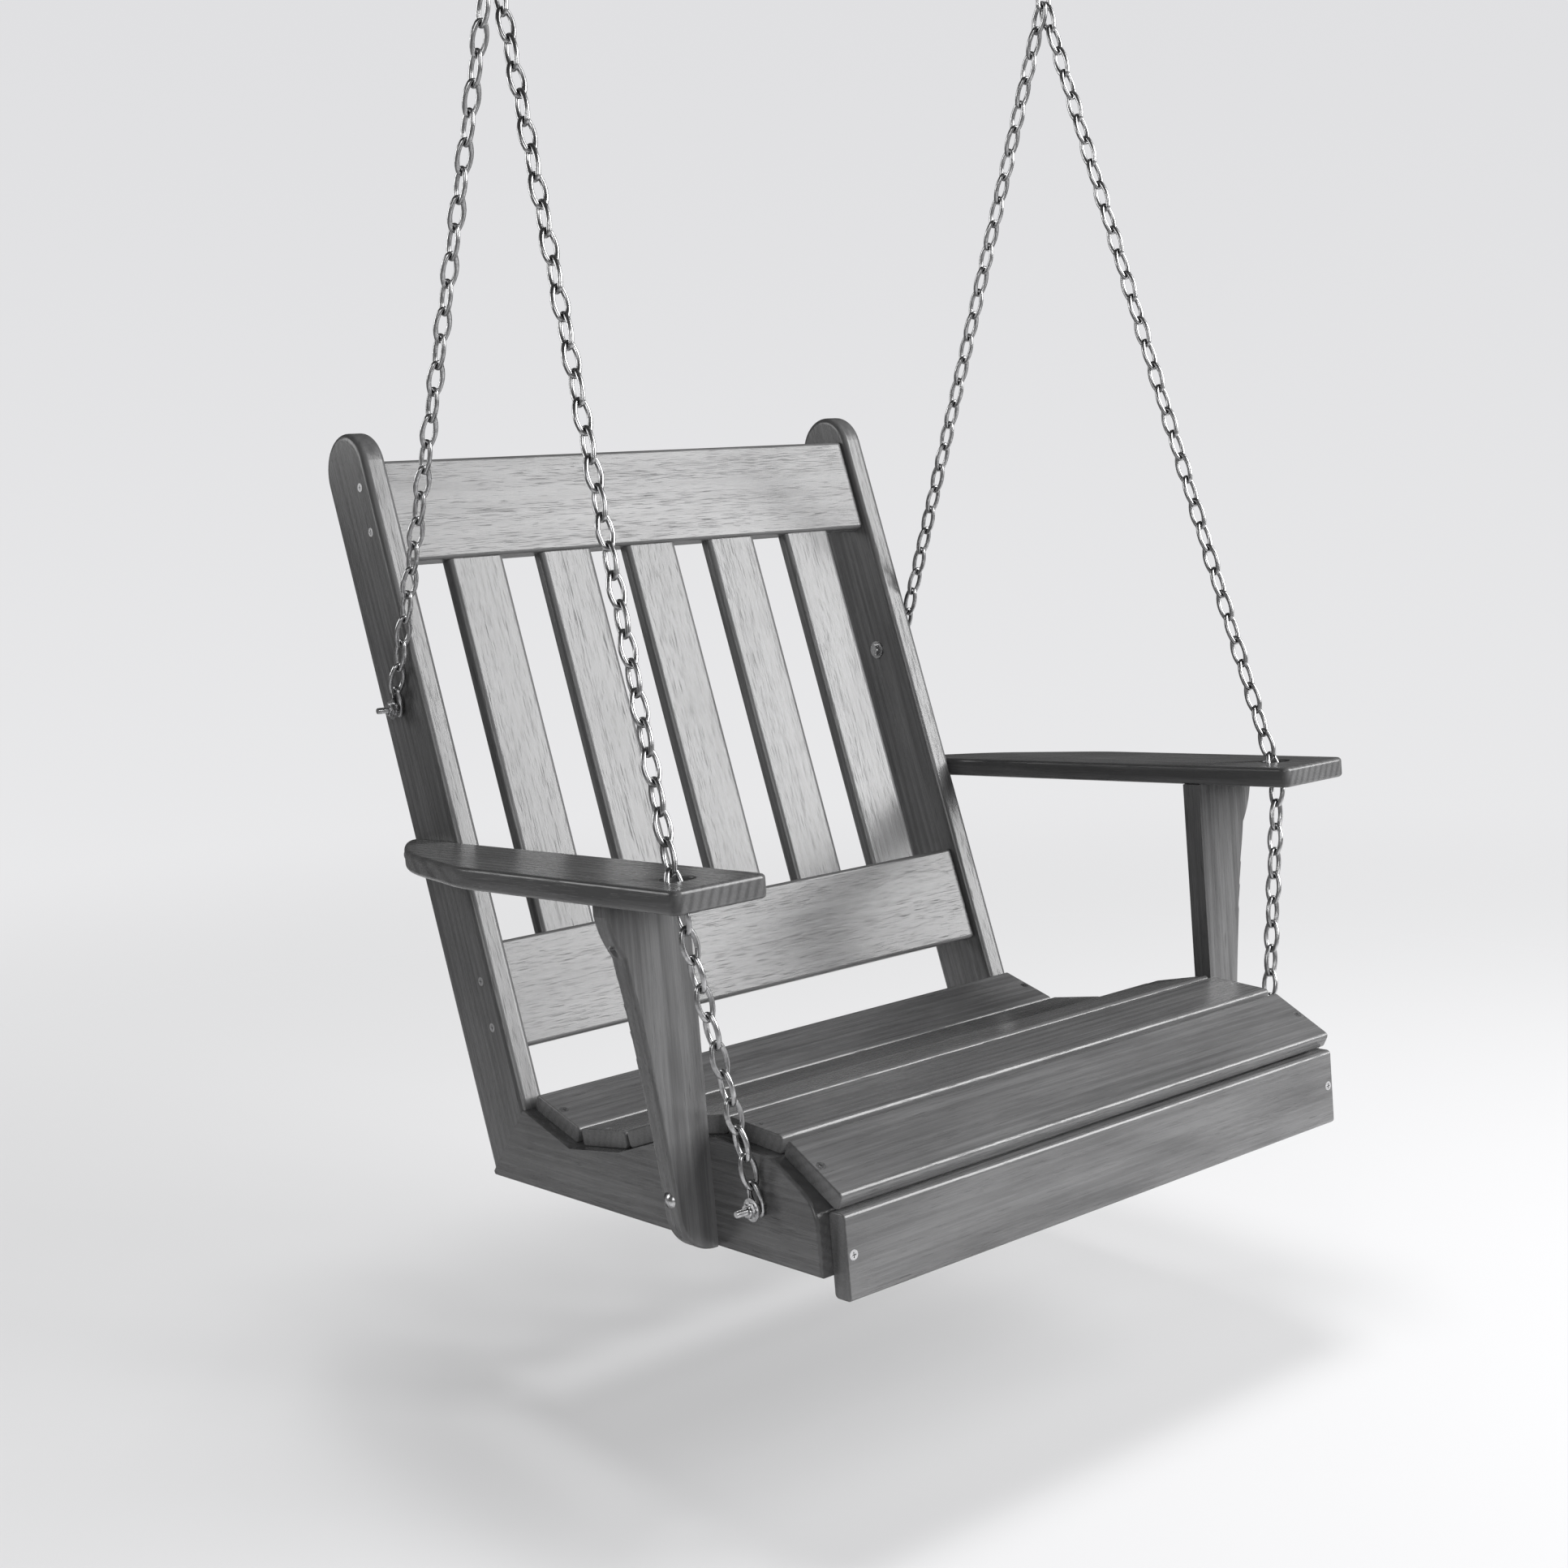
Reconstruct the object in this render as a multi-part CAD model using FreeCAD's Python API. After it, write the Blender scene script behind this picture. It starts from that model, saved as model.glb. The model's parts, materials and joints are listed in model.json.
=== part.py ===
import FreeCAD, Part
import math
import os

# Garden porch swing: a slatted hardwood chair hung on four link chains from two ceiling plates.
# Millimetres and degrees. Seen from the front, X runs from left to right, Y from front to back
# and Z up; the origin is midway between the tops of the two ceiling plates. The chair is drawn
# level in its own frame, whose origin is midway between the front ends of the arms at arm-top
# height, and is then leaned back and hung under the plates.

V = FreeCAD.Vector

# ---- chair: overall
RECLINE = 4.0               # nose-up lean at which the chair balances under its hangers
FRAME_IN = 291.5            # inner face of the stiles and seat rails, from the middle
FRAME_OUT = 316.5           # outer face of the stiles and seat rails
BOARD_HALF = 305.0          # half length of the seat slats and the apron
FIT = 0.05                  # clearance of a fastener or tenon in its hole

# ---- chair: back
BACK_LEAN = 16.0            # lean of the back from upright
BACK_FOOT_Y = 461.5         # front plane of the stiles at arm-top height
STILE_WIDTH = 77.0
STILE_ROUND = 6.0
STILE_TOP = 376.0           # centre of the half-round top, measured up the back
STILE_FOOT = -345.0         # rough lower end before the foot joint is cut
RAIL_HEIGHT = 101.6
RAIL_SET = 8.0              # front of the back rails behind the front of the stiles
BACK_DEPTH = 28.0           # rear of the rails and back slats behind the front of the stiles
TOP_RAIL_FOOT = 276.2       # lower edge of the top rail, measured up the back
LOWER_RAIL_FOOT = -198.7
BACK_SLAT_SET = 12.0
BACK_SLAT_WIDTH = 63.0
BACK_SLAT_ROUND = 6.0
BACK_SLAT_PITCH = 106.0
BACK_SLATS = 5
TENON_LENGTH = 12.0
TENON_WIDTH = 49.0
TENON_THICK = 8.0

# ---- chair: seat
SLAT_WIDTH = 69.8
SLAT_THICK = 16.0
SLAT_ROUND = 4.0
END_ROUND = 1.5
# top front corner (Y, Z) and slope, rising to the rear, of each seat slat from rear to front
SEAT_SLATS = (
    (316.7, -252.9, 18.2),
    (245.2, -244.0, -7.0),
    (177.0, -222.4, -17.7),
    (100.2, -207.2, -10.3),
    (26.4, -213.3, 4.7),
    (-41.4, -249.7, 29.4),
)
SEAT_RAIL_FOOT = -316.2
SEAT_RAIL_FRONT = -23.0
SEAT_RAIL_NOSE = 36.0       # radius at the upper front corner of a seat rail
RAIL_ROUND = 2.5
JOINT_FOOT = -312.0         # height where the stile joint meets the back of the stile
APRON_TOP = -264.6
APRON_FOOT = -334.5
APRON_THICK = 19.0

# ---- chair: arms and posts
ARM_THICK = 19.0
ARM_WIDTH = 91.5
ARM_STRAIGHT = 290.0        # from here back the outer edge curves in to the stile
ARM_CURVE = ((396.5, 363.0), (379.5, 437.0), (346.0, 507.0))
ARM_END = (324.0, 534.0)
ARM_CORNER = 8.0
ARM_ROUND = 3.5
CHAIN_HOLE = (366.0, 51.0)
CHAIN_HOLE_R = 13.75
POST_FRONT = 107.0
POST_THICK = 20.0
POST_TOP_X = 397.0
POST_HORN = ((397.0, -30.0), (392.3, -47.0), (383.0, -65.0))
POST_TAPER = ((380.0, -82.0), (364.5, -180.0), (353.0, -282.0))
POST_FOOT = -317.0
POST_ROUND = 3.0

# ---- fasteners
SCREW_R = 2.0
SCREW_HEAD_R = 4.2
SCREW_HEAD = 2.6
SLAT_SCREW = 38.0
STILE_SCREW = 50.0
ARM_SCREW = 44.0
SCREW_X = 298.2
APRON_SCREW_Z = -297.8
STILE_SCREWS = (355.0, 310.0, -130.0, -174.0)   # heights up the back
ARM_SCREW_AT = (387.0, -57.0)
BOLT_R = 3.0
BOLT_HOLE_R = 3.3
HEX_FLATS = 11.0
HEX_HEAD = 4.0
NUT = 5.0
WASHER_R = 9.5
WASHER = 1.5
DOME_R = 6.5
DOME = 3.5
# Y, Z, the X under the head and the X of the inner end of each carriage bolt
ARM_BOLT = (499.0, -9.5, 347.5, 303.5)        # ends blind in the stile
POST_BOLT = (117.0, -270.0, 353.4, 283.0)     # goes through to a washer and nut
SPOT_R = 7.5
DOWEL_R = 4.0
DOWEL = 44.0
DOWEL_SPREAD = 21.0

# ---- chain
WIRE_R = 2.2
PITCH = 24.3                # length of chain taken up by one link
FRONT_PITCH = 23.75         # the same on the front chains, whose whole links then end flat on the bolt
PLAY = 0.05                 # gap left where two links bear on each other
LINK_HALF_WIDTH = 6.8       # wire centre line
LINK_END_R = 4.6            # wire centre line
BOLT_SEAT = 4.25            # centre of a bolt or thick wire in a link's end, short of half a pitch
LINK_X = 321.3              # where the lowest link hangs on its bolt
STACK_X = 326.6             # inner face of the outer washer on a chain bolt
TIP_X = 343.5               # threaded end of a chain bolt
REAR_BOLT_UP = 141.0        # height of the rear chain bolt up the back
REAR_CHAIN_LEAN = 24.25     # forward lean of the rear chains in the chair frame
REAR_BEND_X = 326.2         # the link above the bolt lies on the outer face of the stile
REAR_LINKS = (28, 1)        # above and below the bend
FRONT_LINKS = (34, 11)
FRONT_BEND = (367.9, 50.9)  # where the front chain bends in the arm hole
FRONT_BOLT_Y = 44.0
JOIN_X = 324.5
JOIN_SPREAD = 2.35          # the two lower chains hang side by side on the joining link

# ---- above the joining link
JOIN_HALF_WIDTH = 7.8
JOIN_LENGTH = 30.4
JOIN_CORNER = 3.2
QUICK_R = 3.0
QUICK_HALF_WIDTH = 9.5
QUICK_LENGTH = 52.0
QUICK_GAP = 9.0
SLEEVE = 19.0
SLEEVE_FLATS = 9.5
LOOP_R = 4.0
LOOP_HALF_WIDTH = 11.0
LOOP_CORNER = 5.0
LOOP_DROP = 38.0
PLATE = (40.0, 96.0, 5.0)
PLATE_HOLE_R = 3.3
PLATE_HOLE_Y = 34.0
PLATE_CORNER = 6.0


# ---------------------------------------------------------------- geometry helpers

def turned_x(degrees, y, z):
    """Placement that turns about the X direction and then moves to (0, y, z)."""
    return FreeCAD.Placement(V(0, y, z), FreeCAD.Rotation(V(1, 0, 0), degrees))


def placed(shape, placement):
    moved = shape.copy()
    moved.Placement = placement.multiply(moved.Placement)
    return moved


def mirrored(shape):
    """The same piece on the other side of the chair."""
    return shape.mirror(V(0, 0, 0), V(1, 0, 0))


def both_sides(shapes):
    return Part.makeCompound(list(shapes) + [mirrored(s) for s in shapes])


def box(x0, x1, y0, y1, z0, z1):
    return Part.makeBox(x1 - x0, y1 - y0, z1 - z0, V(x0, y0, z0))


def rod(radius, start, end):
    return Part.makeCylinder(radius, (end - start).Length, start, end - start)


def prism_x(outline, x0, x1):
    """Outline of (Y, Z) corners extruded from x0 to x1."""
    corners = [V(x0, y, z) for y, z in outline]
    return Part.Face(Part.makePolygon(corners + corners[:1])).extrude(V(x1 - x0, 0, 0))


def hexagon_x(flats, x0, x1):
    """Hexagonal bar along X with two flats level."""
    corner = flats / math.sqrt(3)
    turns = [math.radians(60 * k) for k in range(6)]
    return prism_x([(corner * math.cos(t), corner * math.sin(t)) for t in turns], x0, x1)


def aimed(shape, point, direction):
    """A fastener drawn head-up on Z, placed with its head at point and driven along direction."""
    return placed(shape, FreeCAD.Placement(point, FreeCAD.Rotation(V(0, 0, -1), direction)))


def crossing(line_a, line_b):
    """Where two lines, each a (Y, Z) point and a slope, meet."""
    (ya, za, slope_a), (yb, zb, slope_b) = line_a, line_b
    y = (zb - za + slope_a * ya - slope_b * yb) / (slope_a - slope_b)
    return y, za + slope_a * (y - ya)


# ---------------------------------------------------------------- frames of the chair

def up_back(x, depth, height):
    """Chair-frame point from a depth behind the stile fronts and a height up the back."""
    lean = math.radians(BACK_LEAN)
    y = BACK_FOOT_Y + depth * math.cos(lean) + height * math.sin(lean)
    return V(x, y, height * math.cos(lean) - depth * math.sin(lean))


ON_BACK = turned_x(-BACK_LEAN, BACK_FOOT_Y, 0)


def on_slat(slat):
    y, z, slope = slat
    return turned_x(slope, y, z)


def slat_underside(slat):
    """Point and slope of the line along a slat's lower face."""
    under = on_slat(slat).multVec(V(0, 0, -SLAT_THICK))
    return under.y, under.z, math.tan(math.radians(slat[2]))


# ---------------------------------------------------------------- fasteners, head up on Z

def screw(length, grow=0.0, above=0.0):
    """Countersunk wood screw; grow and above turn it into its own clearance hole."""
    outline = [(0, above), (SCREW_HEAD_R + grow, above), (SCREW_HEAD_R + grow, -0.3 - grow)]
    outline += [(SCREW_R + grow, -SCREW_HEAD - grow), (SCREW_R + grow, 4 - length)]
    outline += [(0, -length - grow)]
    corners = [V(x, 0, z) for x, z in outline]
    face = Part.Face(Part.makePolygon(corners + corners[:1]))
    return face.revolve(V(0, 0, 0), V(0, 0, 1), 360)


def crosshead_screw(length):
    slot = box(-2.4, 2.4, -0.45, 0.45, -1.5, 1)
    return screw(length).cut(slot.fuse(box(-0.45, 0.45, -2.4, 2.4, -1.5, 1)))


def slat_screw_places():
    """Head point and driving direction of each seat-slat screw on the +X side."""
    middle = V(SCREW_X, SLAT_WIDTH / 2, 0)
    frames = [on_slat(slat) for slat in SEAT_SLATS]
    return [(f.multVec(middle), f.Rotation.multVec(V(0, 0, -1))) for f in frames]


def screw_groups():
    """Node name to (screw length, clearance above the head, list of places) on the +X side."""
    stile = [(up_back(FRAME_OUT, (RAIL_SET + BACK_DEPTH) / 2, h), V(-1, 0, 0)) for h in STILE_SCREWS]
    apron_front = SEAT_RAIL_FRONT - APRON_THICK
    x, z = ARM_SCREW_AT
    return {
        "seat_slat_screws": (SLAT_SCREW, 1.0, slat_screw_places()),
        "apron_screws": (SLAT_SCREW, 1.0, [(V(SCREW_X, apron_front, APRON_SCREW_Z), V(0, 1, 0))]),
        "stile_screws": (STILE_SCREW, 1.0, stile),
        "arm_screws": (ARM_SCREW, 16.0, [(V(x, POST_FRONT + POST_THICK / 2, z), V(0, 0, 1))]),
    }


def carriage_bolt(y, z, seat_x, end_x):
    """Domed bolt along X, from its head's seat to its inner end."""
    dome_sphere_r = (DOME_R ** 2 + DOME ** 2) / (2 * DOME)
    ball = Part.makeSphere(dome_sphere_r, V(seat_x + DOME - dome_sphere_r, y, z))
    dome = ball.common(rod(DOME_R, V(seat_x, y, z), V(seat_x + DOME, y, z)))
    return dome.fuse(rod(BOLT_R, V(end_x, y, z), V(seat_x, y, z))).removeSplitter()


def hex_bolt(y, z):
    """Chain bolt with its head inside the frame and its threaded end out to the side."""
    head_x = FRAME_IN - WASHER
    head = hexagon_x(HEX_FLATS, head_x - HEX_HEAD, head_x)
    head.translate(V(0, y, z))
    shaft = rod(BOLT_R, V(head_x, y, z), V(TIP_X, y, z))
    tip = shaft.Edges[0] if shaft.Edges[0].BoundBox.XMin > head_x + 1 else shaft.Edges[2]
    return shaft.makeChamfer(0.6, [tip]).fuse(head).removeSplitter()


def washer(y, z, x):
    disc = rod(WASHER_R, V(x, y, z), V(x + WASHER, y, z))
    return disc.cut(rod(BOLT_HOLE_R, V(x - 1, y, z), V(x + WASHER + 1, y, z)))


def nut(y, z, x):
    body = hexagon_x(HEX_FLATS, x, x + NUT)
    body.translate(V(0, y, z))
    return body.cut(rod(BOLT_R + FIT, V(x - 1, y, z), V(x + NUT + 1, y, z)))


# ---------------------------------------------------------------- round wire

def wire_solid(path, radius):
    """Closed round-wire ring along a closed list of edges."""
    wire = Part.Wire(Part.__sortEdges__(path))
    first = wire.Edges[0]
    start = first.valueAt(first.FirstParameter)
    circle = Part.makeCircle(radius, start, first.tangentAt(first.FirstParameter))
    return wire.makePipeShell([Part.Wire(circle)], True, False)


def arc(a, b, c):
    return Part.Arc(V(a[0], 0, a[1]), V(b[0], 0, b[1]), V(c[0], 0, c[1])).toShape()


def line(a, b):
    return Part.makeLine(V(a[0], 0, a[1]), V(b[0], 0, b[1]))


def chain_link(pitch):
    """Oval link in the XZ plane, its length along Z: two end arcs and two flatter side arcs."""
    half = (pitch + PLAY) / 2 + WIRE_R
    end_z = half - LINK_END_R
    side_r = (end_z ** 2 + LINK_HALF_WIDTH ** 2 - LINK_END_R ** 2) / (2 * (LINK_HALF_WIDTH - LINK_END_R))
    side_x = side_r - LINK_HALF_WIDTH
    share = side_r / (side_r - LINK_END_R)
    x, z = side_x * (share - 1), end_z * share
    path = [
        arc((-x, z), (0, half), (x, z)),
        arc((x, z), (LINK_HALF_WIDTH, 0), (x, -z)),
        arc((x, -z), (0, -half), (-x, -z)),
        arc((-x, -z), (-LINK_HALF_WIDTH, 0), (-x, z)),
    ]
    return wire_solid(path, WIRE_R)


def corner_arc(centre, radius, from_deg):
    """Quarter turn in the XZ plane, anticlockwise from an angle measured from +X towards +Z."""
    turns = [math.radians(from_deg + step) for step in (0, 45, 90)]
    x, z = centre
    return arc(*[(x + radius * math.cos(t), z + radius * math.sin(t)) for t in turns])


def joining_link():
    """Link with a straight bottom bar, centred on that bar, that takes both lower chains."""
    w, r = JOIN_HALF_WIDTH, JOIN_CORNER
    shoulder = JOIN_LENGTH - w
    path = [
        line((r - w, 0), (w - r, 0)),
        corner_arc((w - r, r), r, 270),
        line((w, r), (w, shoulder)),
        arc((w, shoulder), (0, JOIN_LENGTH), (-w, shoulder)),
        line((-w, shoulder), (-w, r)),
        corner_arc((r - w, r), r, 180),
    ]
    return wire_solid(path, WIRE_R)


def quick_link():
    """Threaded connector: an oval of thicker wire, open on one side under its sleeve."""
    w, top = QUICK_HALF_WIDTH, QUICK_LENGTH - QUICK_HALF_WIDTH
    path = [
        arc((w, w), (0, 0), (-w, w)),
        line((-w, w), (-w, top)),
        arc((-w, top), (0, QUICK_LENGTH), (w, top)),
        line((w, top), (w, w)),
    ]
    middle = QUICK_LENGTH / 2
    gap = box(w - 5, w + 5, -5, 5, middle - QUICK_GAP / 2, middle + QUICK_GAP / 2)
    sleeve = hexagon_x(SLEEVE_FLATS, -SLEEVE / 2, SLEEVE / 2)
    sleeve.rotate(V(0, 0, 0), V(0, 1, 0), 90)
    sleeve.translate(V(w, 0, middle))
    bore = rod(QUICK_R + FIT, V(w, 0, middle - SLEEVE), V(w, 0, middle + SLEEVE))
    return wire_solid(path, QUICK_R).cut(gap), sleeve.cut(bore)


def hanger_loop():
    """U-shaped bar welded under a ceiling plate, with a straight bottom for the connector."""
    w, r = LOOP_HALF_WIDTH, LOOP_CORNER
    top, bottom = -PLATE[2], -LOOP_DROP
    path = [
        line((-w, top), (-w, bottom + r)),
        corner_arc((r - w, bottom + r), r, 180),
        line((r - w, bottom), (w - r, bottom)),
        corner_arc((w - r, bottom + r), r, 270),
        line((w, bottom + r), (w, top)),
    ]
    circle = Part.makeCircle(LOOP_R, V(-w, 0, top), V(0, 0, -1))
    return Part.Wire(path).makePipeShell([Part.Wire(circle)], True, False)


def hanger_plate():
    x, y, z = PLATE
    plate = box(-x / 2, x / 2, -y / 2, y / 2, -z, 0)
    uprights = [e for e in plate.Edges if e.BoundBox.ZLength > z / 2]
    plate = plate.makeFillet(PLATE_CORNER, uprights)
    rims = [e for e in plate.Edges if e.BoundBox.ZMax < -z + 0.01]
    plate = plate.makeFillet(0.8, rims)
    for side in (-PLATE_HOLE_Y, PLATE_HOLE_Y):
        plate = plate.cut(rod(PLATE_HOLE_R, V(0, side, -z - 1), V(0, side, 1)))
    return plate


# ---------------------------------------------------------------- chain routes

def link_width(down, index):
    """Direction across a link, a quarter turn from link to link."""
    width = down.cross(V(1, 0, 0)).normalize()
    return FreeCAD.Rotation(down, index * 90).multVec(width)


def run(start, end, pitch, first_gap, count, first_index):
    """Links in a straight run from start; first_gap is from start to the first link's centre."""
    down = (end - start).normalize()
    link = chain_link(pitch)
    links = []
    for k in range(count):
        width = link_width(down, first_index + k)
        facing = FreeCAD.Rotation(width, down.cross(width), down, "ZXY")
        centre = start + down * (first_gap + k * pitch)
        links.append(placed(link, FreeCAD.Placement(centre, facing)))
    return links


def side_step(top, bend, bottom, width):
    """Shift of the lower run that lets the two links at a bend bear inside each other's ends."""
    down = (bend - top).normalize()
    turn = (bottom - bend).normalize() - down
    in_plane = width * turn.dot(width) + down * turn.dot(down)
    return (in_plane * 2 - turn) * (WIRE_R + PLAY / 2)


def chain(top, bend, bottom, pitch, counts):
    """Chain from the joining link to its bolt, with one bend between its two straight runs."""
    above, below = counts
    upper = run(top, bend, pitch, bar_seat(pitch), above, 0)
    width = link_width((bend - top).normalize(), above - 1)
    step = side_step(top, bend, bottom, width)
    slid = bottom + V(step.x, 0, 0)         # the lowest link slides along its bolt by the same step
    lower = run(bend + step, slid, pitch, pitch / 2, below, above)
    return Part.makeCompound(upper + lower)


def bar_seat(pitch):
    """From the centre of a link to the middle of the wire that it hangs on."""
    return pitch / 2 - WIRE_R - PLAY / 2


def upper_length(pitch, count):
    """From the joining link's bar to the bend below the given number of links."""
    return (count - 0.5) * pitch + bar_seat(pitch)


def lower_length(pitch, count):
    """From the bend to the bolt, with the given number of links between them."""
    return count * pitch - BOLT_SEAT


LINK = chain_link(PITCH)
REAR_BOLT = up_back(LINK_X, STILE_WIDTH / 2, REAR_BOLT_UP)


def along_rear_chain(start, end_x, length):
    """Point at a chain length up the lean of the rear chain, at the given X."""
    lean = math.radians(REAR_CHAIN_LEAN)
    reach = math.sqrt(length ** 2 - (end_x - start.x) ** 2)
    return V(end_x, start.y - reach * math.sin(lean), start.z + reach * math.cos(lean))


def below(start, x, y, length):
    """Point at a chain length below start, at the given X and Y."""
    drop = math.sqrt(length ** 2 - (x - start.x) ** 2 - (y - start.y) ** 2)
    return V(x, y, start.z - drop)


REAR_BEND = along_rear_chain(REAR_BOLT, REAR_BEND_X, lower_length(PITCH, REAR_LINKS[1]))
REAR_TOP = along_rear_chain(REAR_BEND, JOIN_X - JOIN_SPREAD, upper_length(PITCH, REAR_LINKS[0]))
FRONT_TOP = REAR_TOP + V(2 * JOIN_SPREAD, 0, 0)
FRONT_TURN = below(FRONT_TOP, *FRONT_BEND, upper_length(FRONT_PITCH, FRONT_LINKS[0]))
FRONT_BOLT = below(FRONT_TURN, LINK_X, FRONT_BOLT_Y, lower_length(FRONT_PITCH, FRONT_LINKS[1]))

CHAIN_BOLTS = [(REAR_BOLT.y, REAR_BOLT.z), (FRONT_BOLT.y, FRONT_BOLT.z)]
CARRIAGE_BOLTS = [ARM_BOLT, POST_BOLT]

# heights of the upper fittings above the joining link's bottom bar
LINK_HALF = (PITCH + PLAY) / 2 + WIRE_R
UPPER_LINK_1 = JOIN_LENGTH - 2 * WIRE_R - PLAY + LINK_HALF
UPPER_LINK_2 = UPPER_LINK_1 + PITCH
QUICK_FOOT = UPPER_LINK_2 + PITCH / 2 - BOLT_SEAT
LOOP_BAR = QUICK_FOOT + QUICK_LENGTH - QUICK_R - LOOP_R - PLAY
JOIN_Z = -LOOP_DROP - LOOP_BAR


def hanging_placement():
    """Leans the chair back and puts the joining links' bars at Y = 0 and Z = JOIN_Z."""
    lean = FreeCAD.Rotation(V(1, 0, 0), -RECLINE)
    join = lean.multVec(V(0, REAR_TOP.y, REAR_TOP.z))
    return FreeCAD.Placement(V(0, -join.y, JOIN_Z - join.z), lean)


# ---------------------------------------------------------------- wooden pieces

def drilled(wood):
    """Wood with the clearance holes of every screw, bolt and dowel that passes through it."""
    tools = []
    for length, above, places in screw_groups().values():
        hole = screw(length, FIT, above)
        tools += [aimed(hole, point, direction) for point, direction in places]
    for y, z in CHAIN_BOLTS:
        tools.append(rod(BOLT_HOLE_R, V(FRAME_IN - 1, y, z), V(FRAME_OUT + 1, y, z)))
    for y, z, seat_x, end_x in CARRIAGE_BOLTS:
        tools.append(rod(BOLT_HOLE_R, V(end_x - 1, y, z), V(seat_x + 1, y, z)))
        tools.append(rod(SPOT_R, V(seat_x, y, z), V(seat_x + 20, y, z)))
    tools += [dowel(FIT) for dowel in DOWELS]
    tools += [mirrored(tool) for tool in tools]
    near = [tool for tool in tools if tool.BoundBox.intersect(wood.BoundBox)]
    return wood.cut(near) if near else wood


def eased_board(x0, x1, y0, y1, z0, z1, radius):
    """Board along X with rounded long edges and lightly eased ends."""
    board = box(x0, x1, y0, y1, z0, z1)
    long_edges = [e for e in board.Edges if e.BoundBox.XLength > 1]
    board = board.makeFillet(radius, long_edges)
    ends = [e for e in board.Edges if e.BoundBox.XLength < 0.01]
    return board.makeFillet(END_ROUND, ends)


def seat_slat(slat):
    board = eased_board(-BOARD_HALF, BOARD_HALF, 0, SLAT_WIDTH, -SLAT_THICK, 0, SLAT_ROUND)
    return placed(board, on_slat(slat))


def apron():
    front = SEAT_RAIL_FRONT - APRON_THICK
    span = (-BOARD_HALF, BOARD_HALF, front, SEAT_RAIL_FRONT, APRON_FOOT, APRON_TOP)
    return eased_board(*span, SLAT_ROUND)


def stile_back_y(z):
    """Y of the rear face of the stiles at a height in the chair frame."""
    lean = math.radians(BACK_LEAN)
    return BACK_FOOT_Y + STILE_WIDTH / math.cos(lean) + z * math.tan(lean)


def joint_ends():
    """Front and rear ends, (Y, Z), of the slanting joint between a stile and its seat rail."""
    lean = math.radians(BACK_LEAN)
    stile_front = (BACK_FOOT_Y, 0, 1 / math.tan(lean))
    return crossing(slat_underside(SEAT_SLATS[0]), stile_front), (stile_back_y(JOINT_FOOT), JOINT_FOOT)


def joint_frame():
    """Middle of the joint, direction down it, and direction square to it towards the stile."""
    (y0, z0), (y1, z1) = joint_ends()
    down = V(0, y1 - y0, z1 - z0).normalize()
    return V((FRAME_IN + FRAME_OUT) / 2, (y0 + y1) / 2, (z0 + z1) / 2), down, V(0, -down.z, down.y)


def joint_block(sign):
    """Block on one side of the joint plane: +1 above it, on the stile's side, -1 below it."""
    middle, down, square = joint_frame()
    reach, depth = down * 120, square * (sign * 200)
    corners = [middle - reach, middle + reach, middle + reach + depth, middle - reach + depth]
    return prism_x([(c.y, c.z) for c in corners], FRAME_IN - 5, FRAME_OUT + 5)


def joint_dowel(shift):
    """Function of the clearance that gives one dowel across the stile joint."""
    middle, down, square = joint_frame()
    at = middle + down * shift
    return lambda grow: rod(DOWEL_R + grow, at - square * (DOWEL / 2 + grow), at + square * (DOWEL / 2 + grow))


DOWELS = [joint_dowel(-DOWEL_SPREAD), joint_dowel(DOWEL_SPREAD)]


def stile():
    """Upright of the back on the +X side, with a half-round top and a slanting foot joint."""
    x, w, radius = FRAME_IN, STILE_WIDTH, STILE_WIDTH / 2
    foot = [V(x, 0, STILE_TOP), V(x, 0, STILE_FOOT), V(x, w, STILE_FOOT), V(x, w, STILE_TOP)]
    top = Part.Arc(foot[3], V(x, radius, STILE_TOP + radius), foot[0]).toShape()
    wire = Part.Wire([Part.makeLine(foot[k], foot[k + 1]) for k in range(3)] + [top])
    board = Part.Face(wire).extrude(V(FRAME_OUT - x, 0, 0))
    rim = [e for e in board.Edges if e.BoundBox.XLength < 0.01 and e.BoundBox.ZMax > STILE_FOOT + 1]
    board = board.makeFillet(STILE_ROUND, rim)
    return placed(board, ON_BACK).cut(joint_block(-1))


def seat_rail():
    """Side rail of the seat on the +X side; its upper edge follows the undersides of the slats."""
    unders = [slat_underside(slat) for slat in reversed(SEAT_SLATS)]
    y, z, slope = unders[0]
    nose = (SEAT_RAIL_FRONT, z + slope * (SEAT_RAIL_FRONT - y))
    valley = [crossing(a, b) for a, b in zip(unders, unders[1:])]
    back_slope = 1 / math.tan(math.radians(BACK_LEAN))
    heel = crossing(unders[-1], (stile_back_y(0), 0, back_slope))
    foot = (stile_back_y(SEAT_RAIL_FOOT), SEAT_RAIL_FOOT)
    outline = [nose] + valley + [heel, foot, (SEAT_RAIL_FRONT, SEAT_RAIL_FOOT)]
    board = prism_x(outline, FRAME_IN, FRAME_OUT)
    nose_edge = [e for e in board.Edges if e.BoundBox.XLength > 1
                 and abs(e.BoundBox.YMin - nose[0]) < 0.01 and abs(e.BoundBox.ZMin - nose[1]) < 0.01]
    board = board.makeFillet(SEAT_RAIL_NOSE, nose_edge)
    lower = [e for e in board.Edges if e.BoundBox.XLength < 0.01
             and (e.BoundBox.ZMax < SEAT_RAIL_FOOT + 0.01 or e.BoundBox.YMax < SEAT_RAIL_FRONT + 0.01)]
    board = board.makeFillet(RAIL_ROUND, lower)
    return board.cut(joint_block(1))


def back_rail(foot):
    board = eased_board(-FRAME_IN, FRAME_IN, RAIL_SET, BACK_DEPTH, foot, foot + RAIL_HEIGHT, SLAT_ROUND)
    return placed(board, ON_BACK)


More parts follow.
